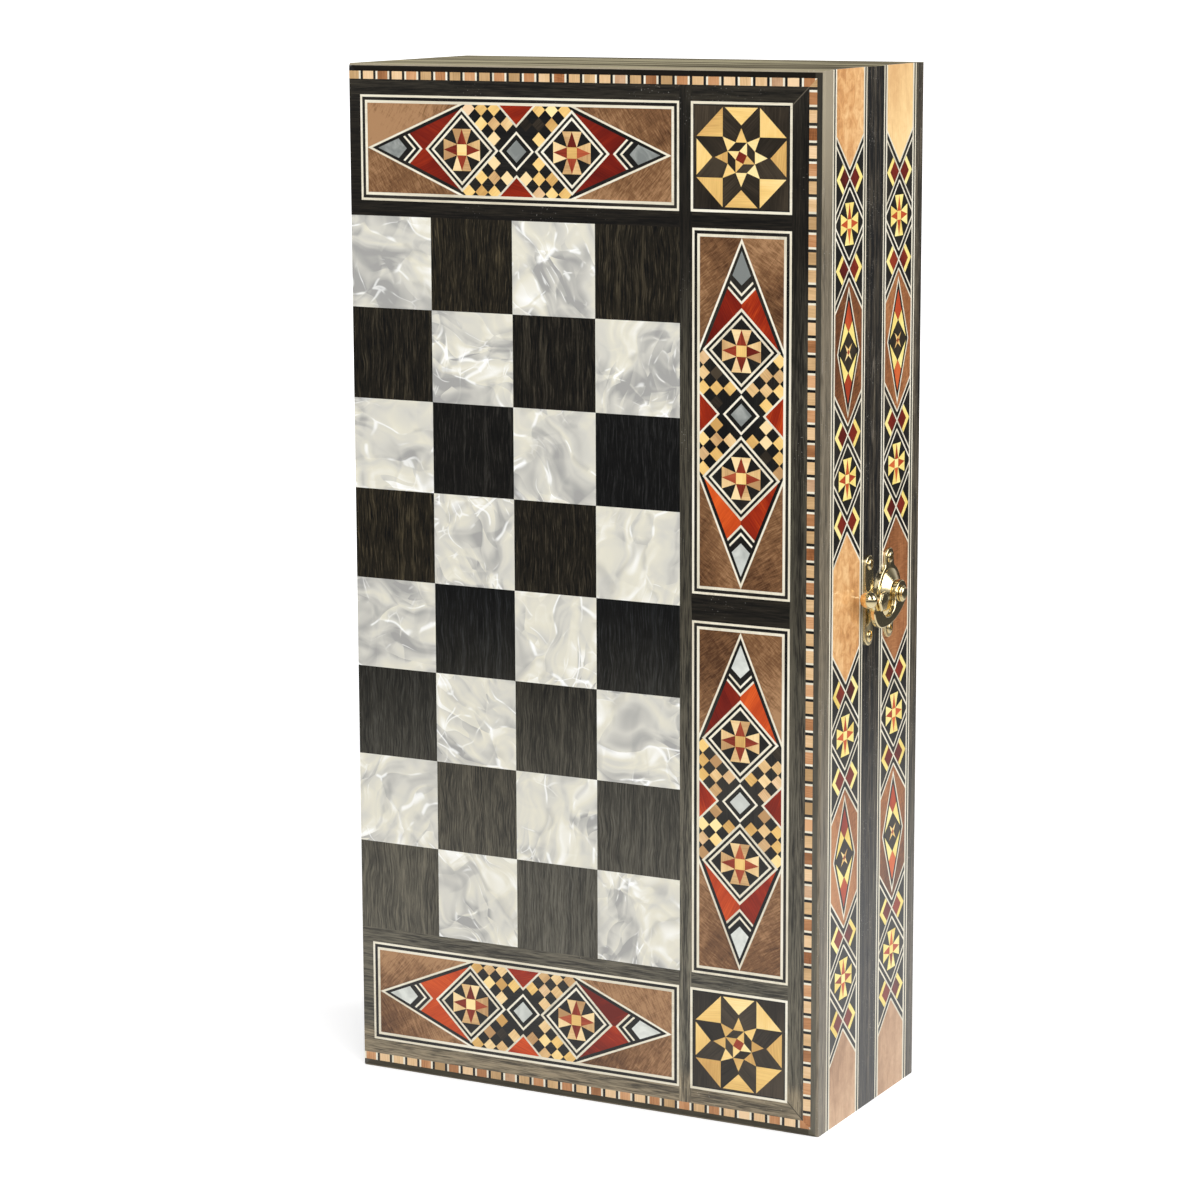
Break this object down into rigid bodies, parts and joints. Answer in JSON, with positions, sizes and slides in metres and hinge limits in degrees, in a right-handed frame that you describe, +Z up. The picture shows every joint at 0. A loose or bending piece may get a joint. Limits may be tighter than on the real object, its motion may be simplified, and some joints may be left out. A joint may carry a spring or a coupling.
{
  "type": "folding chess and backgammon case",
  "caption": "Folding chess and backgammon case: two equal hinged trays with inlaid half boards outside, playing points inside, and a swing-hook clasp.",
  "frame": {"origin": "centre of the foot on the seam between the two trays, the case closed and stood on one short end", "axes": "+Z up along the case's length; X across its width, hinges at -X and clasp at +X; Y through its thickness, front tray at -Y"},
  "size_m": [0.2635, 0.115, 0.5],
  "materials": {
    "dark_wood": "dark rosewood under gloss lacquer",
    "plywood": "plain board, hidden",
    "pearl": "pearl, under gloss lacquer",
    "banding": "block banding under gloss lacquer",
    "walnut": "figured walnut under gloss lacquer",
    "white_wood": "pale stringing under gloss lacquer",
    "yellow_wood": "yellow maple under gloss lacquer",
    "red_wood": "padauk under gloss lacquer",
    "burl": "orange burl under gloss lacquer",
    "lining_wood": "satin lacquer",
    "brass": "polished"
  },
  "bodies": {
    "front_half": {"front_hinge_rail": "dark_wood", "front_latch_rail": "dark_wood", "front_top_rail": "dark_wood", "front_bottom_rail": "dark_wood", "front_face_board": "plywood", "front_pearl_squares": "pearl", "front_dark_squares": "dark_wood", "front_face_margins": "dark_wood", "front_block_banding": "banding", "front_walnut_fields": "walnut", "front_stringing": "white_wood", "front_dark_inlays": "dark_wood", "front_maple_inlays": "yellow_wood", "front_padauk_inlays": "red_wood", "front_pearl_inlays": "pearl", "front_side_fields": "burl", "front_side_ribbons": "white_wood", "front_side_dark": "dark_wood", "front_side_motifs": "yellow_wood", "front_lining": "lining_wood", "front_light_points": "yellow_wood", "front_dark_points": "walnut", "front_hinge_leaves": "brass", "catch_plate": "brass", "catch_stud": "brass"},
    "back_half": {"back_hinge_rail": "dark_wood", "back_latch_rail": "dark_wood", "back_top_rail": "dark_wood", "back_bottom_rail": "dark_wood", "back_face_board": "plywood", "back_pearl_squares": "pearl", "back_dark_squares": "dark_wood", "back_face_margins": "dark_wood", "back_block_banding": "banding", "back_walnut_fields": "walnut", "back_stringing": "white_wood", "back_dark_inlays": "dark_wood", "back_maple_inlays": "yellow_wood", "back_padauk_inlays": "red_wood", "back_pearl_inlays": "pearl", "back_side_fields": "burl", "back_side_ribbons": "white_wood", "back_side_dark": "dark_wood", "back_side_motifs": "yellow_wood", "back_lining": "lining_wood", "back_light_points": "yellow_wood", "back_dark_points": "walnut", "back_hinge_leaves": "brass", "hook_plate": "brass", "hook_pivot": "brass"},
    "swing_hook": {"swing_hook": "brass"}
  },
  "joints": [
    {"name": "tray_hinge", "type": "hinge", "parent": "front_half", "child": "back_half", "pos_m": [-0.1253, 0, 0.25], "axis": [0, 0, 1], "range_deg": [0, 180]},
    {"name": "hook_swing", "type": "hinge", "parent": "back_half", "child": "swing_hook", "pos_m": [0.125, 0.019, 0.25], "axis": [1, 0, 0], "range_deg": [0, 180]}
  ]
}
